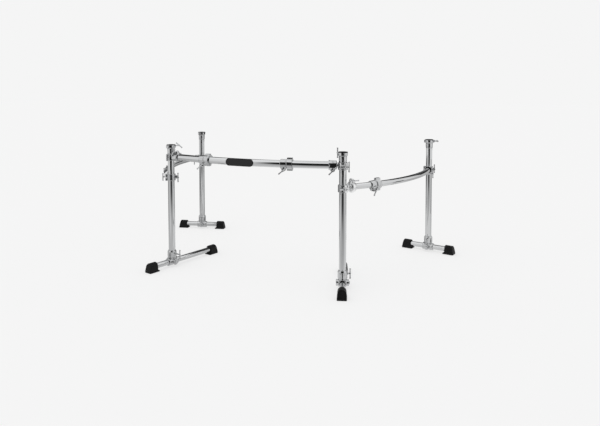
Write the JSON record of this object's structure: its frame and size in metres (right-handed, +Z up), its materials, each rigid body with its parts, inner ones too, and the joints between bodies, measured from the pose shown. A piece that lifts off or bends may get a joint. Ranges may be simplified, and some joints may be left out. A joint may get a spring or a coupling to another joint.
{
  "type": "drum rack frame",
  "caption": "Curved chrome drum rack frame: upright posts on rubber-booted feet, joined by bowed bars held in hinged T-bolt clamps.",
  "frame": {"origin": "on the floor under the middle of the bounding box", "axes": "+X to the right for someone facing the front bar, +Y from the front bar towards the rear posts, +Z up"},
  "size_m": [2.0052, 1.1142, 0.7325],
  "materials": {
    "chrome_tube": "polished chrome plate on steel tube",
    "cast_chrome": "chrome plate on cast metal, with softer edges",
    "rubber": "matt black moulded rubber",
    "gloss_black": "gloss black, bare"
  },
  "bodies": {
    "front_frame": {"front_bar": "chrome_tube", "name_plate": "gloss_black", "front_left_clamp": "cast_chrome", "front_right_clamp": "cast_chrome"},
    "left_side": {"left_side_bar": "chrome_tube", "left_side_front_clamp": "cast_chrome", "left_side_rear_clamp": "cast_chrome"},
    "right_side": {"right_side_bar": "chrome_tube", "right_side_front_clamp": "cast_chrome", "right_side_rear_clamp": "cast_chrome"},
    "front_left_leg": {"front_left_post": "chrome_tube"},
    "front_left_collar_bolt": {"front_left_collar_bolt": "cast_chrome"},
    "front_left_base": {"front_left_base_clamp": "cast_chrome"},
    "front_left_base_bolt": {"front_left_base_bolt": "cast_chrome"},
    "front_left_foot": {"front_left_foot_tube": "chrome_tube", "front_left_outer_boot": "rubber", "front_left_inner_boot": "rubber"},
    "front_right_leg": {"front_right_post": "chrome_tube"},
    "front_right_collar_bolt": {"front_right_collar_bolt": "cast_chrome"},
    "front_right_base": {"front_right_base_clamp": "cast_chrome"},
    "front_right_base_bolt": {"front_right_base_bolt": "cast_chrome"},
    "front_right_foot": {"front_right_foot_tube": "chrome_tube", "front_right_outer_boot": "rubber", "front_right_inner_boot": "rubber"},
    "rear_left_leg": {"rear_left_post": "chrome_tube"},
    "rear_left_collar_bolt": {"rear_left_collar_bolt": "cast_chrome"},
    "rear_left_base": {"rear_left_base_clamp": "cast_chrome"},
    "rear_left_base_bolt": {"rear_left_base_bolt": "cast_chrome"},
    "rear_left_foot": {"rear_left_foot_tube": "chrome_tube", "rear_left_outer_boot": "rubber", "rear_left_inner_boot": "rubber"},
    "rear_right_leg": {"rear_right_post": "chrome_tube"},
    "rear_right_collar_bolt": {"rear_right_collar_bolt": "cast_chrome"},
    "rear_right_base": {"rear_right_base_clamp": "cast_chrome"},
    "rear_right_base_bolt": {"rear_right_base_bolt": "cast_chrome"},
    "rear_right_foot": {"rear_right_foot_tube": "chrome_tube", "rear_right_outer_boot": "rubber", "rear_right_inner_boot": "rubber"},
    "front_left_jaw": {"front_left_jaw": "cast_chrome"},
    "front_left_jaw_bolt": {"front_left_jaw_bolt": "cast_chrome"},
    "front_right_jaw": {"front_right_jaw": "cast_chrome"},
    "front_right_jaw_bolt": {"front_right_jaw_bolt": "cast_chrome"},
    "left_side_front_jaw": {"left_side_front_jaw": "cast_chrome"},
    "left_side_front_jaw_bolt": {"left_side_front_jaw_bolt": "cast_chrome"},
    "right_side_front_jaw": {"right_side_front_jaw": "cast_chrome"},
    "right_side_front_jaw_bolt": {"right_side_front_jaw_bolt": "cast_chrome"},
    "left_side_rear_jaw": {"left_side_rear_jaw": "cast_chrome"},
    "left_side_rear_jaw_bolt": {"left_side_rear_jaw_bolt": "cast_chrome"},
    "right_side_rear_jaw": {"right_side_rear_jaw": "cast_chrome"},
    "right_side_rear_jaw_bolt": {"right_side_rear_jaw_bolt": "cast_chrome"},
    "front_left_accessory_clamp": {"front_left_accessory_clamp": "cast_chrome"},
    "front_left_accessory_bolt": {"front_left_accessory_bolt": "cast_chrome"},
    "front_right_accessory_clamp": {"front_right_accessory_clamp": "cast_chrome"},
    "front_right_accessory_bolt": {"front_right_accessory_bolt": "cast_chrome"},
    "left_side_accessory_clamp": {"left_side_accessory_clamp": "cast_chrome"},
    "left_side_accessory_bolt": {"left_side_accessory_bolt": "cast_chrome"},
    "right_side_accessory_clamp": {"right_side_accessory_clamp": "cast_chrome"},
    "right_side_accessory_bolt": {"right_side_accessory_bolt": "cast_chrome"}
  },
  "joints": [
    {"name": "left_side_swing", "type": "hinge", "parent": "front_frame", "child": "left_side", "pos_m": [-0.521, -0.36874, 0.528], "axis": [0, 0, 1], "range_deg": [-30, 60]},
    {"name": "right_side_swing", "type": "hinge", "parent": "front_frame", "child": "right_side", "pos_m": [0.521, -0.36874, 0.528], "axis": [0, 0, 1], "range_deg": [-60, 30]},
    {"name": "front_left_leg_height", "type": "slide", "parent": "front_frame", "child": "front_left_leg", "axis": [0, 0, 1], "range_m": [0, 0.3]},
    {"name": "front_left_foot_turn", "type": "hinge", "parent": "front_left_leg", "child": "front_left_base", "pos_m": [-0.521, -0.36874, 0.07], "axis": [0, 0, 1], "continuous": true},
    {"name": "front_left_foot_slide", "type": "slide", "parent": "front_left_base", "child": "front_left_foot", "axis": [0.2756, 0.9613, 0], "range_m": [-0.24, 0.07]},
    {"name": "front_left_collar_bolt_turn", "type": "hinge", "parent": "front_left_leg", "child": "front_left_collar_bolt", "pos_m": [-0.51403, -0.33854, 0.705], "axis": [0.225, 0.9744, 0], "continuous": true},
    {"name": "front_left_base_bolt_turn", "type": "hinge", "parent": "front_left_base", "child": "front_left_base_bolt", "pos_m": [-0.49601, -0.37591, 0.0774], "axis": [0.9613, -0.2756, 0], "continuous": true},
    {"name": "front_right_leg_height", "type": "slide", "parent": "front_frame", "child": "front_right_leg", "axis": [0, 0, 1], "range_m": [0, 0.3]},
    {"name": "front_right_foot_turn", "type": "hinge", "parent": "front_right_leg", "child": "front_right_base", "pos_m": [0.521, -0.36874, 0.07], "axis": [0, 0, 1], "continuous": true},
    {"name": "front_right_foot_slide", "type": "slide", "parent": "front_right_base", "child": "front_right_foot", "axis": [-0.2756, 0.9613, 0], "range_m": [-0.195, 0.08]},
    {"name": "front_right_collar_bolt_turn", "type": "hinge", "parent": "front_right_leg", "child": "front_right_collar_bolt", "pos_m": [0.49725, -0.34882, 0.705], "axis": [-0.766, 0.6428, 0], "continuous": true},
    {"name": "front_right_base_bolt_turn", "type": "hinge", "parent": "front_right_base", "child": "front_right_base_bolt", "pos_m": [0.54599, -0.36158, 0.0774], "axis": [0.9613, 0.2756, 0], "continuous": true},
    {"name": "rear_left_leg_height", "type": "slide", "parent": "left_side", "child": "rear_left_leg", "axis": [0, 0, 1], "range_m": [-0.1, 0.3]},
    {"name": "rear_left_foot_turn", "type": "hinge", "parent": "rear_left_leg", "child": "rear_left_base", "pos_m": [-0.82978, 0.49364, 0.07], "axis": [0, 0, 1], "continuous": true},
    {"name": "rear_left_foot_slide", "type": "slide", "parent": "rear_left_base", "child": "rear_left_foot", "axis": [0.9744, 0.225, 0], "range_m": [-0.065, 0.065]},
    {"name": "rear_left_collar_bolt_turn", "type": "hinge", "parent": "rear_left_leg", "child": "rear_left_collar_bolt", "pos_m": [-0.84528, 0.52049, 0.705], "axis": [-0.5, 0.866, 0], "continuous": true},
    {"name": "rear_left_base_bolt_turn", "type": "hinge", "parent": "rear_left_base", "child": "rear_left_base_bolt", "pos_m": [-0.82393, 0.46831, 0.0774], "axis": [0.225, -0.9744, 0], "continuous": true},
    {"name": "rear_right_leg_height", "type": "slide", "parent": "right_side", "child": "rear_right_leg", "axis": [0, 0, 1], "range_m": [-0.1, 0.3]},
    {"name": "rear_right_foot_turn", "type": "hinge", "parent": "rear_right_leg", "child": "rear_right_base", "pos_m": [0.82978, 0.49364, 0.07], "axis": [0, 0, 1], "continuous": true},
    {"name": "rear_right_foot_slide", "type": "slide", "parent": "rear_right_base", "child": "rear_right_foot", "axis": [0.9744, -0.225, 0], "range_m": [-0.065, 0.065]},
    {"name": "rear_right_collar_bolt_turn", "type": "hinge", "parent": "rear_right_leg", "child": "rear_right_collar_bolt", "pos_m": [0.85986, 0.50114, 0.705], "axis": [0.9703, 0.2419, 0], "continuous": true},
    {"name": "rear_right_base_bolt_turn", "type": "hinge", "parent": "rear_right_base", "child": "rear_right_base_bolt", "pos_m": [0.82393, 0.46831, 0.0774], "axis": [-0.225, -0.9744, 0], "continuous": true},
    {"name": "front_left_jaw_swing", "type": "hinge", "parent": "front_frame", "child": "front_left_jaw", "pos_m": [-0.52951, -0.39579, 0.6397], "axis": [0, 0, 1], "range_deg": [0, 100]},
    {"name": "front_left_jaw_bolt_turn", "type": "hinge", "parent": "front_left_jaw", "child": "front_left_jaw_bolt", "pos_m": [-0.52045, -0.33501, 0.6397], "axis": [-0.9539, 0.3, 0], "continuous": true},
    {"name": "front_right_jaw_swing", "type": "hinge", "parent": "front_frame", "child": "front_right_jaw", "pos_m": [0.51249, -0.3417, 0.6397], "axis": [0, 0, 1], "range_deg": [0, 100]},
    {"name": "front_right_jaw_bolt_turn", "type": "hinge", "parent": "front_right_jaw", "child": "front_right_jaw_bolt", "pos_m": [0.53986, -0.39672, 0.6397], "axis": [0.9539, 0.3, 0], "continuous": true},
    {"name": "left_side_front_jaw_swing", "type": "hinge", "parent": "left_side", "child": "left_side_front_jaw", "pos_m": [-0.54095, -0.38889, 0.5232], "axis": [0, 0, 1], "range_deg": [-100, 0]},
    {"name": "left_side_front_jaw_bolt_turn", "type": "hinge", "parent": "left_side_front_jaw", "child": "left_side_front_jaw_bolt", "pos_m": [-0.49142, -0.35251, 0.5232], "axis": [0.7106, -0.7036, 0], "continuous": true},
    {"name": "left_side_rear_jaw_swing", "type": "hinge", "parent": "left_side", "child": "left_side_rear_jaw", "pos_m": [-0.85798, 0.49655, 0.5232], "axis": [0, 0, 1], "range_deg": [0, 100]},
    {"name": "left_side_rear_jaw_bolt_turn", "type": "hinge", "parent": "left_side_rear_jaw", "child": "left_side_rear_jaw_bolt", "pos_m": [-0.79662, 0.49987, 0.5232], "axis": [0.1026, 0.9947, 0], "continuous": true},
    {"name": "right_side_front_jaw_swing", "type": "hinge", "parent": "right_side", "child": "right_side_front_jaw", "pos_m": [0.50105, -0.3486, 0.5232], "axis": [0, 0, 1], "range_deg": [-100, 0]},
    {"name": "right_side_front_jaw_bolt_turn", "type": "hinge", "parent": "right_side_front_jaw", "child": "right_side_front_jaw_bolt", "pos_m": [0.53694, -0.39849, 0.5232], "axis": [-0.7106, -0.7036, 0], "continuous": true},
    {"name": "right_side_rear_jaw_swing", "type": "hinge", "parent": "right_side", "child": "right_side_rear_jaw", "pos_m": [0.80158, 0.49073, 0.5232], "axis": [0, 0, 1], "range_deg": [0, 100]},
    {"name": "right_side_rear_jaw_bolt_turn", "type": "hinge", "parent": "right_side_rear_jaw", "child": "right_side_rear_jaw_bolt", "pos_m": [0.86097, 0.50651, 0.5232], "axis": [-0.1026, 0.9947, 0], "continuous": true},
    {"name": "front_left_accessory_travel", "type": "hinge", "parent": "front_frame", "child": "front_left_accessory_clamp", "pos_m": [0, 1.28777, 0.6445], "axis": [0, 0, 1], "range_deg": [-5.2, 3.5]},
    {"name": "front_left_accessory_bolt_turn", "type": "hinge", "parent": "front_left_accessory_clamp", "child": "front_left_accessory_bolt", "pos_m": [-0.27264, -0.4359, 0.61048], "axis": [-0.1463, -0.9892, 0], "continuous": true},
    {"name": "front_right_accessory_travel", "type": "hinge", "parent": "front_frame", "child": "front_right_accessory_clamp", "pos_m": [0, 1.28777, 0.6445], "axis": [0, 0, 1], "range_deg": [-4.6, 6]},
    {"name": "front_right_accessory_bolt_turn", "type": "hinge", "parent": "front_right_accessory_clamp", "child": "front_right_accessory_bolt", "pos_m": [0.21809, -0.44365, 0.61048], "axis": [0.1349, -0.9909, 0], "continuous": true},
    {"name": "left_side_accessory_travel", "type": "hinge", "parent": "left_side", "child": "left_side_accessory_clamp", "pos_m": [0.2251, 0.38487, 0.528], "axis": [0, 0, 1], "range_deg": [-33, 4.5]},
    {"name": "left_side_accessory_bolt_turn", "type": "hinge", "parent": "left_side_accessory_clamp", "child": "left_side_accessory_bolt", "pos_m": [-0.64907, -0.23063, 0.49713], "axis": [-0.827, -0.5622, 0], "continuous": true},
    {"name": "right_side_accessory_travel", "type": "hinge", "parent": "right_side", "child": "right_side_accessory_clamp", "pos_m": [-0.2251, 0.38487, 0.528], "axis": [0, 0, 1], "range_deg": [-4.5, 33]},
    {"name": "right_side_accessory_bolt_turn", "type": "hinge", "parent": "right_side_accessory_clamp", "child": "right_side_accessory_bolt", "pos_m": [0.64907, -0.23063, 0.49713], "axis": [0.827, -0.5622, 0], "continuous": true}
  ]
}
